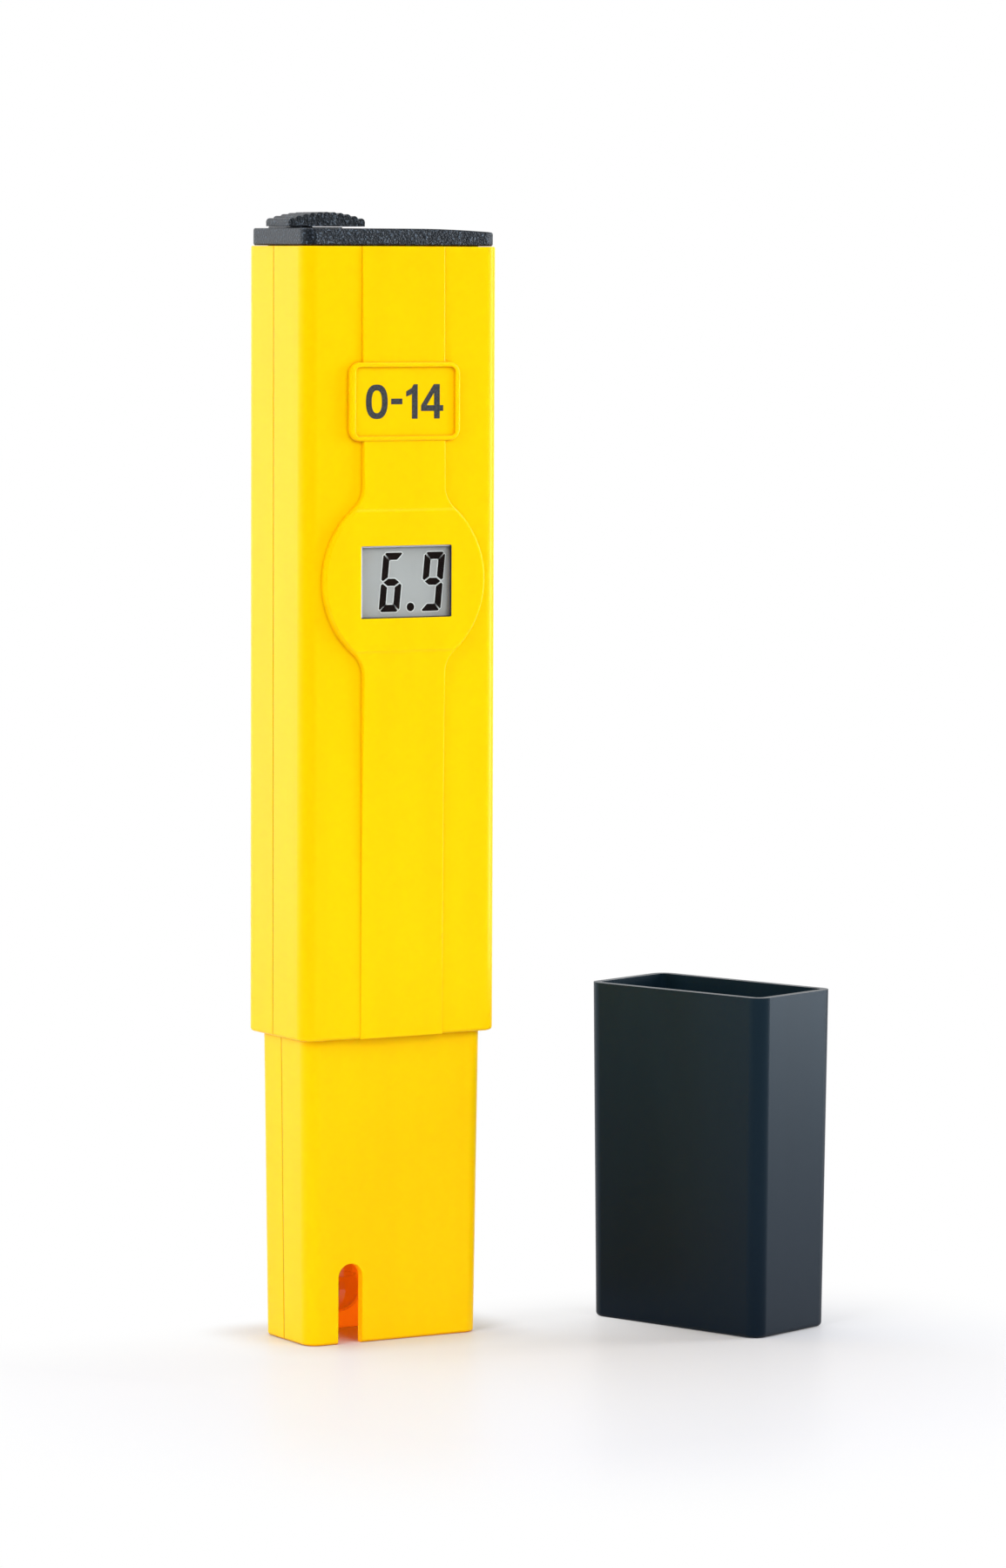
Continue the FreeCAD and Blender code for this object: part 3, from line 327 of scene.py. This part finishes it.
# nickel plate over pressed steel: warm grey mirror with faint drawing lines
nickelPlate = workedMetal("nickel_plate", {
    "bright": "#cfcac0", "dull": "#bdb8ae", "markSize": 0.4, "markStretch": (0.1, 1, 1),
    "stainSize": 2.5, "markStrength": 0.1, "roughness": (0.18, 0.3)})

# zinc-plated screw steel: bluish and a little cloudy, turned heads
zincSteel = workedMetal("zinc_plated_steel", {
    "bright": "#c3c8cc", "dull": "#a9aeb2", "markSize": 0.25, "markStretch": (1, 0.2, 1),
    "stainSize": 0.8, "markStrength": 0.15, "roughness": (0.25, 0.4)})

# rolled phosphor bronze spring strip: orange-brown with rolling lines along its length
phosphorBronze = workedMetal("phosphor_bronze_strip", {
    "bright": "#c9905c", "dull": "#b07a48", "markSize": 0.3, "markStretch": (1, 1, 0.08),
    "stainSize": 1.8, "markStrength": 0.12, "roughness": (0.22, 0.35)})

# drawn silver wire with its grey chloride skin: white metal gone matt
silverWire = workedMetal("chlorided_silver_wire", {
    "bright": "#c9c7c3", "dull": "#8f8a86", "markSize": 0.2, "markStretch": (1, 1, 0.1),
    "stainSize": 0.6, "markStrength": 0.2, "roughness": (0.35, 0.55)})

# cast acrylic window: water clear, hard gloss
clearAcrylic = clearMaterial("clear_acrylic", {
    "tint": "#fcfdfd", "headOn": 0.025, "waveSize": 6.0, "waveStrength": 0.01, "roughness": (0.0, 0.02)})

# blown membrane glass: thin, faintly warm, fine ripples from the flame
membraneGlass = clearMaterial("blown_membrane_glass", {
    "tint": "#f6efe2", "headOn": 0.03, "waveSize": 1.2, "waveStrength": 0.04, "roughness": (0.0, 0.03)})

# smoked polycarbonate carrier round the glass: moulded, slightly milky
polycarbonate = clearMaterial("moulded_polycarbonate", {
    "tint": "#c9cdce", "headOn": 0.06, "waveSize": 2.0, "waveStrength": 0.08, "roughness": (0.12, 0.22)})

# reflective display: polariser film over a brushed silver sheet, flat cool grey with a fine tooth
displayGrey = mouldedPlastic("reflective_display_film", {
    "colour": "#b7b9b8", "deep": "#b4b6b5", "mottleSize": 4.0, "grainSize": 0.15,
    "grainStrength": 0.05, "grainDepth": 0.01, "roughness": (0.45, 0.55), "specular": 0.2})

# silicone pressed from black and clear sheets: fine stripes with a soft, dry skin; a layer is 0.05 mm
# in the real strip, drawn four times as thick so that it shows
zebraRubber = bandedRubber("layered_silicone_rubber", {
    "black": "#161617", "clear": "#b9b7ae", "layer": 0.2, "waver": 0.3, "edgeSpan": (0.45, 0.55),
    "skinSize": 0.3, "skinStrength": 0.2, "skinDepth": 0.05, "roughness": (0.55, 0.7), "specular": 0.4})

# glass cloth pressed in epoxy under a wet-look mask: deep green with a faint weave
glassEpoxy = laminate("glass_epoxy_laminate", {
    "mask": "#17633a", "maskThin": "#1f7646", "track": "#3a9a5e", "weave": 0.5, "clothSpan": (0.2, 0.9),
    "trackPitch": 1.27, "trackRun": 9.0, "trackWidth": 0.3, "trackHeight": 0.03, "trackStrength": 0.3,
    "roughness": (0.22, 0.38), "ior": 1.55})

slotMaterials = {
    "yellow_abs": yellowAbs, "black_abs": blackAbs, "black_cover": coverPlastic,
    "clear_acrylic": clearAcrylic, "display_glass": displayGrey, "conductive_rubber": zebraRubber,
    "sealing_rubber": nitrileRubber, "circuit_laminate": glassEpoxy, "black_resin": pouredEpoxy,
    "component_body": mouldedEpoxy, "nickel": nickelPlate, "screw_steel": zincSteel,
    "bronze": phosphorBronze, "trimmer_plastic": blueNylon, "rotor_plastic": whiteAcetal,
    "probe_glass": membraneGlass, "carrier_plastic": polycarbonate, "porous_ceramic": firedCeramic,
    "silver_wire": silverWire, "lead_sleeve": sleevePvc}

for node in nodes.values():
    for place in node.material_slots:
        packed = place.material.name.split(".")[0]
        place.material = slotMaterials[packed]
print("finishes given to the packed nodes")


def plainPiece(name, mesh, body, material):
    piece = bpy.data.objects.new(name, mesh)
    bpy.context.scene.collection.objects.link(piece)
    mesh.materials.append(material)
    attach(piece, body)
    return piece


def prisms(name, outlines, frontY, backY):
    # closed flat solids, one for each outline of (x, z) corners, between two depths
    shape = bmesh.new()
    for outline in outlines:
        front = [shape.verts.new((x * mm, frontY * mm, z * mm)) for x, z in outline]
        back = [shape.verts.new((x * mm, backY * mm, z * mm)) for x, z in outline]
        shape.faces.new(front)
        shape.faces.new(back[::-1])
        count = len(outline)
        for i in range(count):
            shape.faces.new((front[i], back[i], back[(i + 1) % count], front[(i + 1) % count]))
    bmesh.ops.recalc_face_normals(shape, faces=shape.faces)
    mesh = bpy.data.meshes.new(name)
    shape.to_mesh(mesh)
    shape.free()
    return mesh


# the reading on the face of the display, in millimetres
display = {
    "bottom": 99.0, "top": 106.93, "width": 3.15, "slant": 0.096, "sixLeft": -3.27, "nineLeft": 3.09,
    "shown": {"six": "acdefg", "nine": "abcdfg"}, "dot": (1.25, 99.6), "dotR": 0.575,
    "upright": 0.98, "level": 0.96,  # how thick the standing and the lying bars are
    "cut": 0.42, "bevel": (0.12, 0.3),  # the digit's outer corner, cut away in two steps
    "tip": (0.27, 0.16),  # how far the pointed end of a lying bar stands in from that corner
    "mitre": 0.02, "step": 0.16,  # gaps where a standing bar meets the top or bottom one
    "split": 0.2, "shoulder": 0.36, "middleTip": 0.1, "middleMitre": 0.08,  # and half way up
    "rim": 0.13, "rimDepth": (0.03, 0.01), "inkDepth": (0.06, 0.04)}  # depths in front of the glass


def digitOutlines(left, shown):
    # seven bars with mitred ends and an even gap at every mitre, leaning to the right
    w, t, s, cut = display["width"], display["upright"], display["level"], display["cut"]
    (tip, tipUp), mitre, split = display["tip"], display["mitre"], display["split"]
    low, high = display["bottom"], display["top"]
    mid, rise, half = (low + high) / 2, (high - low) / 2, s / 2
    across = [(cut, 0), (w - cut, 0), (w - tip, tipUp), (w - t - mitre, s), (t + mitre, s), (tip, tipUp)]
    upright = [(0, cut), display["bevel"], (t, s + display["step"]), (t, rise - half - split),
               (tip, rise - split), (0, rise - display["shoulder"])]
    nose, heel = tip + display["middleTip"], t + display["middleMitre"]
    bars = {
        "a": [(x, high - z) for x, z in across],
        "d": [(x, low + z) for x, z in across],
        "g": [(nose, mid), (heel, mid + half), (w - heel, mid + half), (w - nose, mid),
              (w - heel, mid - half), (heel, mid - half)],
        "f": [(x, high - z) for x, z in upright],
        "b": [(w - x, high - z) for x, z in upright],
        "e": [(x, low + z) for x, z in upright],
        "c": [(w - x, low + z) for x, z in upright]}
    return [[(left + x + display["slant"] * (z - mid), z) for x, z in bars[key]] for key in shown]


def discOutline(centre, radius, steps=28):
    return [(centre[0] + radius * math.cos(2 * math.pi * i / steps),
             centre[1] + radius * math.sin(2 * math.pi * i / steps)) for i in range(steps)]


def grown(outline, by):
    # the outline moved outwards all round, corners kept sharp
    area = sum(x0 * z1 - x1 * z0 for (x0, z0), (x1, z1) in zip(outline, outline[1:] + outline[:1]))
    way = 1 if area > 0 else -1
    moved = []
    count = len(outline)
    for i in range(count):
        (ax, az), (bx, bz), (cx, cz) = outline[i - 1], outline[i], outline[(i + 1) % count]
        n1 = Vector((bz - az, ax - bx)).normalized() * way
        n2 = Vector((cz - bz, bx - cx)).normalized() * way
        both = (n1 + n2).normalized()
        step = by / max(both.dot(n1), 0.5)
        moved.append((bx + both.x * step, bz + both.y * step))
    return moved


# liquid crystal switched dark between its polarisers: flat warm black without gloss
segmentInk = printedInk("polarised_segment", {
    "full": "#150d0b", "thin": "#1b1210", "speck": 0.8, "specular": 0.02, "roughness": (0.5, 0.65)})

# film that stays clear beside a segment: a pale edge round each bar
clearedFilm = printedInk("cleared_display_film", {
    "full": "#eef1ef", "thin": "#e9ecea", "speck": 0.8, "specular": 0.2, "roughness": (0.5, 0.65)})

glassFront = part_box("lcd_glass")[0].y / mm
digits = digitOutlines(display["sixLeft"], display["shown"]["six"])
digits += digitOutlines(display["nineLeft"], display["shown"]["nine"])
digits.append(discOutline(display["dot"], display["dotR"]))
rims = [grown(outline, display["rim"]) for outline in digits]
for name, outlines, (front, back), ink in (
        ("display_digits", digits, display["inkDepth"], segmentInk),
        ("display_digit_rims", rims, display["rimDepth"], clearedFilm)):
    plainPiece(name, prisms(name, outlines, glassFront - front, glassFront - back),
               "housing", ink)
print("display digits made")


def rectangle(x0, z0, x1, z1):
    return [(x0, z0), (x1, z0), (x1, z1), (x0, z1)]


# the edge of the film shows as a fine line round the opening: dark as painted shade on the right and
# below, blue-grey as painted light on the left and above; on the right it stands forward to the lip
window = {"low": (-6.62, 98.2), "high": (7.04, 107.9), "left": 0.15, "bottom": 0.14, "top": 0.2,
          "right": 0.03, "depth": (-8.83, -8.81), "lipFront": -9.18}
paintedShadeLine = printedInk("film_edge_painted_shade", {
    "full": "#141a3a", "thin": "#1d2448", "speck": 0.5, "specular": 0.2, "roughness": (0.5, 0.65)})
paintedLightLine = printedInk("film_edge_painted_light", {
    "full": "#bcc6ea", "thin": "#c3cdee", "speck": 0.5, "specular": 0.2, "roughness": (0.5, 0.65)})


def makeWindowLines():
    (x0, z0), (x1, z1) = window["low"], window["high"]
    floorZ, roofZ, sideX = z0 + window["bottom"], z1 - window["top"], x1 - window["right"]
    front, back = window["depth"]
    for name, strips, face, ink in (
            ("window_line_left_top_painted_light", [rectangle(x0, floorZ, x0 + window["left"], roofZ),
                                      rectangle(x0, roofZ, sideX, z1)], front, paintedLightLine),
            ("window_line_low_painted_shade", [rectangle(x0, z0, sideX, floorZ)], front, paintedShadeLine),
            ("window_line_right_painted_shade", [rectangle(sideX, z0, x1, z1)], window["lipFront"], paintedShadeLine)):
        plainPiece(name, prisms(name, strips, face, back), "housing", ink)


makeWindowLines()
print("window lines made")

# the measuring range in plain numbers, printed in the sunk face of the plate, in millimetres
numbers = {
    "capHeight": 4.6, "stroke": 0.86, "gaps": (0.55, 0.6, 0.55, 0.0), "centre": (0.0, 127.15),
    "faceY": -8.75, "film": 0.03,
    "zeroWidth": 3.3, "roundness": 2.4, "thinner": 0.9,  # the zero's top and foot against its sides
    "dashWidth": 1.7, "dash": (1.95, 2.7),
    "oneWidth": 1.75, "flag": ((1.15, 0.0), (0.85, 0.5), (0.0, 0.95), (0.0, 1.65)), "flagRoot": 1.3,
    "fourWidth": 3.4, "fourStem": 2.0, "fourBar": (1.02, 1.78), "fourPeak": 1.95,
    "fourHole": (0.85, 3.5)}  # left and top of the open triangle


def oval(width, height, inset, steps=40):
    # upright rounded ring edge, squarer than an ellipse
    points = []
    power = 2 / numbers["roundness"]
    for i in range(steps):
        turn = 2 * math.pi * i / steps
        c, s = math.cos(turn), math.sin(turn)
        across, up = width / 2 - inset, height / 2 - inset * numbers["thinner"]
        points.append((width / 2 + across * math.copysign(abs(c) ** power, c),
                       height / 2 + up * math.copysign(abs(s) ** power, s)))
    return points


def zeroGlyph():
    width, height = numbers["zeroWidth"], numbers["capHeight"]
    return width, [oval(width, height, 0), oval(width, height, numbers["stroke"])]


def dashGlyph():
    low, high = numbers["dash"]
    return numbers["dashWidth"], [rectangle(0, low, numbers["dashWidth"], high)]


def oneGlyph():
    # from the foot of the stem up its right side, round the flag and back
    width, height = numbers["oneWidth"], numbers["capHeight"]
    inner = width - numbers["stroke"]
    flag = [(x, height - down) for x, down in numbers["flag"]]
    return width, [[(inner, 0), (width, 0), (width, height), *flag, (inner, height - numbers["flagRoot"])]]


def fourGlyph():
    # stem, crossbar and slope, and the open triangle between them
    width, height, left = numbers["fourWidth"], numbers["capHeight"], numbers["fourStem"]
    right, (low, high) = left + numbers["stroke"], numbers["fourBar"]
    holeLeft, holeTop = numbers["fourHole"]
    return width, [[(left, 0), (right, 0), (right, low), (width, low), (width, high), (right, high),
                    (right, height), (numbers["fourPeak"], height), (0, high), (0, low), (left, low)],
                   [(holeLeft, high), (left, high), (left, holeTop)]]


def printedNumbers():
    glyphs = [zeroGlyph(), dashGlyph(), oneGlyph(), fourGlyph()]
    total = sum(g[0] for g in glyphs) + sum(numbers["gaps"])
    line = bpy.data.curves.new("plate_numbers", "CURVE")
    line.dimensions = "2D"
    line.fill_mode = "BOTH"
    line.extrude = numbers["film"] * mm / 2
    x = -total / 2
    for (width, outlines), gap in zip(glyphs, numbers["gaps"]):
        for outline in outlines:
            spline = line.splines.new("POLY")
            spline.points.add(len(outline) - 1)
            spline.use_cyclic_u = True
            for point, (px, pz) in zip(spline.points, outline):
                point.co = ((x + px) * mm, (pz - numbers["capHeight"] / 2) * mm, 0, 1)
        x += width + gap
    carrier = bpy.data.objects.new("plate_numbers_line", line)
    bpy.context.scene.collection.objects.link(carrier)
    bpy.context.view_layer.update()
    made = bpy.data.meshes.new_from_object(carrier.evaluated_get(bpy.context.evaluated_depsgraph_get()))
    bpy.data.objects.remove(carrier)
    made.transform(Matrix.Translation(
        (numbers["centre"][0] * mm, (numbers["faceY"] - numbers["film"] / 2) * mm,
         numbers["centre"][1] * mm)) @ Matrix.Rotation(math.pi / 2, 4, "X"))
    shape = bmesh.new()
    shape.from_mesh(made)
    bmesh.ops.remove_doubles(shape, verts=shape.verts, dist=0.001 * mm)
    bmesh.ops.recalc_face_normals(shape, faces=shape.faces)
    shape.to_mesh(made)
    shape.free()
    return made


# pad-printed ink: thin charcoal film, a little lighter in specks where it lies thin on the grain
greyInk = printedInk("pad_printed_ink", {
    "full": "#2a2c2e", "thin": "#45484b", "speck": 0.18, "specular": 0.2, "roughness": (0.5, 0.65)})
plainPiece("plate_numbers", printedNumbers(), "housing", greyInk)
print("plate numbers made")


# smooth white paper: matt with a faint sheen; lengths are in millimetres
paper = {
    "colour": "#dfe0e5", "sheenColour": "#f4f4f4", "sheen": 0.12, "sheenRoughness": 0.35,
    "centre": (3.0, -45.0, 0.0), "fade": (40.0, 95.0), "behind": (-30.0, 20.0),
    "footprint": (13.0, 7.0, 10.0), "footprintEdge": (1.0, 10.0),  # half width, half depth, any height
    "discR": 420.0, "discX": 15.0, "drop": 0.02}


def sweptPaper(name, look):
    # painted light: for the camera the paper turns to plain white emission further off from the centre
    # and behind the meter, but not under it, which paints out the shadows there
    material, tree = newMaterial(name)
    where = addNode(tree, "ShaderNodeTexCoord").outputs["Object"]
    centred = addNode(tree, "ShaderNodeVectorMath",
                      {"operation": "SUBTRACT", 1: Vector(look["centre"]) * mm}, {0: where})
    reach = addNode(tree, "ShaderNodeVectorMath", {"operation": "LENGTH"}, {0: centred.outputs[0]})
    axes = addNode(tree, "ShaderNodeSeparateXYZ", links={0: where})
    folded = addNode(tree, "ShaderNodeVectorMath", {"operation": "ABSOLUTE"}, {0: where})
    outside = addNode(tree, "ShaderNodeVectorMath",
                      {"operation": "SUBTRACT", 1: Vector(look["footprint"]) * mm}, {0: folded.outputs[0]})
    beyond = addNode(tree, "ShaderNodeVectorMath", {"operation": "MAXIMUM", 1: (0, 0, 0)},
                     {0: outside.outputs[0]})
    clear = addNode(tree, "ShaderNodeVectorMath", {"operation": "LENGTH"}, {0: beyond.outputs[0]})
    far, behind, away = [
        addNode(tree, "ShaderNodeMapRange",
                {"interpolation_type": "SMOOTHSTEP", "From Min": start * mm, "From Max": end * mm},
                {"Value": distance}).outputs["Result"]
        for distance, (start, end) in ((reach.outputs["Value"], look["fade"]),
                                       (axes.outputs["Y"], look["behind"]),
                                       (clear.outputs["Value"], look["footprintEdge"]))]
    white = addNode(tree, "ShaderNodeMath", {"operation": "MAXIMUM"}, {0: far, 1: behind})
    shown = addNode(tree, "ShaderNodeMath", {"operation": "MULTIPLY"}, {0: white.outputs[0], 1: away})
    rays = addNode(tree, "ShaderNodeLightPath")
    seen = addNode(tree, "ShaderNodeMath", {"operation": "MULTIPLY"},
                   {0: shown.outputs[0], 1: rays.outputs["Is Camera Ray"]})
    matt = addNode(tree, "ShaderNodeBsdfDiffuse", {"Color": linear(look["colour"])})
    sheen = addNode(tree, "ShaderNodeBsdfGlossy",
                    {"Color": linear(look["sheenColour"]), "Roughness": look["sheenRoughness"]})
    skin = addNode(tree, "ShaderNodeMixShader", {0: look["sheen"]},
                   {1: matt.outputs[0], 2: sheen.outputs[0]})
    backdrop = addNode(tree, "ShaderNodeEmission", {"Color": (1, 1, 1, 1), "Strength": 1.0})
    finishMaterial(tree, addNode(tree, "ShaderNodeMixShader", links={
        0: seen.outputs[0], 1: skin.outputs[0], 2: backdrop.outputs[0]}))
    return material


def makeFloor():
    shape = bmesh.new()
    middle = (paper["discX"], 0.0)
    shape.faces.new([shape.verts.new((x * mm, y * mm, 0.0))
                     for x, y in discOutline(middle, paper["discR"], steps=96)])
    mesh = bpy.data.meshes.new("floor")
    shape.to_mesh(mesh)
    shape.free()
    mesh.materials.append(sweptPaper("white_paper_sweep", paper))
    floor = bpy.data.objects.new("floor", mesh)
    bpy.context.scene.collection.objects.link(floor)
    floor.location.z = -paper["drop"] * mm  # clear of the faces that stand on it


# the room round the meter: the dark level, and for each lit part the way it lies, the span of facing
# over which its light comes up, and its level
room = {"dark": 0.08, "lit": {
    "backLeft": ((-0.65, 0.76, 0.05), (0.4, 0.95), 1.9),
    "backRight": ((0.5, 0.866, 0.05), (0.45, 0.95), 1.0),
    "above": ((0.0, 0.4, 0.92), (0.1, 0.9), 0.95)}}


def makeWorld():
    # white where the camera looks; for everything else a lit backdrop behind and a dark room in front
    world = bpy.data.worlds.new("studio")
    bpy.context.scene.world = world
    world.use_nodes = True
    tree = world.node_tree
    tree.nodes.clear()
    ray = addNode(tree, "ShaderNodeTexCoord").outputs["Generated"]
    total = None
    for way, span, level in room["lit"].values():
        facing = addNode(tree, "ShaderNodeVectorMath", {"operation": "DOT_PRODUCT", 1: way}, {0: ray})
        lit = addNode(tree, "ShaderNodeMapRange",
                      {"interpolation_type": "SMOOTHSTEP", "From Min": span[0], "From Max": span[1],
                       "To Max": level}, {"Value": facing.outputs["Value"]})
        links = {0: lit.outputs["Result"]}
        if total is not None:
            links[1] = total
        total = addNode(tree, "ShaderNodeMath",
                        {"operation": "MAXIMUM", 1: room["dark"]}, links).outputs[0]
    around = addNode(tree, "ShaderNodeBackground", {"Color": (1, 1, 1, 1)}, {"Strength": total})
    backdrop = addNode(tree, "ShaderNodeBackground", {"Color": (1, 1, 1, 1), "Strength": 1.0})
    rays = addNode(tree, "ShaderNodeLightPath")
    through = addNode(tree, "ShaderNodeMath", {"operation": "MAXIMUM"},
                      {0: rays.outputs["Is Camera Ray"], 1: rays.outputs["Is Transmission Ray"]})
    mix = addNode(tree, "ShaderNodeMixShader",
                  links={0: through.outputs[0], 1: around.outputs[0], 2: backdrop.outputs[0]})
    addNode(tree, "ShaderNodeOutputWorld", links={"Surface": mix.outputs[0]})


lamps = {
    # name: place and aim in metres, width, height, watts, and whether the skins mirror it
    "front_key": ((0.2, -1.45, 0.65), (0.0, 0.0, 0.08), 1.0, 0.8, 10.3, False),
    "front_sheen": ((0.8, -1.2, 1.0), (0.0, 0.0, 0.08), 0.5, 0.5, 4.5, True),
    "left_fill": ((-1.2, -0.5, 0.6), (0.0, 0.0, 0.08), 0.6, 0.8, 9.5, False),
    "right_box": ((1.2, -0.35, 0.25), (0.02, 0.0, 0.08), 0.45, 0.9, 12.0, True)}


def makeLamps():
    for name, (place, aim, width, height, watts, mirrored) in lamps.items():
        lamp = bpy.data.lights.new(name, "AREA")
        lamp.shape = "RECTANGLE"
        lamp.size, lamp.size_y, lamp.energy = width, height, watts
        holder = bpy.data.objects.new(name, lamp)
        bpy.context.scene.collection.objects.link(holder)
        holder.location = place
        holder.rotation_euler = (Vector(aim) - Vector(place)).to_track_quat("-Z", "Y").to_euler()
        holder.visible_glossy = mirrored


# the camera's place, lens, sensor and clipping in millimetres, and its turns in radians
view = {"place": (-413.734, -743.153, 146.422), "yaw": 0.52889, "pitch": 0.08351, "roll": 0.00412,
        "lens": 144.45, "sensor": 36.0, "near": 50.0, "far": 20000.0}


def makeCamera():
    yaw, pitch, roll = view["yaw"], view["pitch"], view["roll"]
    ahead = Vector((math.sin(yaw) * math.cos(pitch), math.cos(yaw) * math.cos(pitch), -math.sin(pitch)))
    side = Vector((math.cos(yaw), -math.sin(yaw), 0))
    up = side.cross(ahead)
    x = side * math.cos(roll) + up * math.sin(roll)
    y = up * math.cos(roll) - side * math.sin(roll)
    lens = bpy.data.cameras.new("camera")
    lens.lens = view["lens"]
    lens.sensor_width = view["sensor"]
    lens.clip_start, lens.clip_end = view["near"] * mm, view["far"] * mm
    camera = bpy.data.objects.new("camera", lens)
    bpy.context.scene.collection.objects.link(camera)
    turn = Matrix((x, y, -ahead)).transposed().to_4x4()
    camera.matrix_world = Matrix.Translation(Vector(view["place"]) * mm) @ turn
    bpy.context.scene.camera = camera


makeFloor()
makeWorld()
makeLamps()
makeCamera()
bpy.context.scene.view_settings.view_transform = "Standard"
print("floor, world, lamps and camera set")
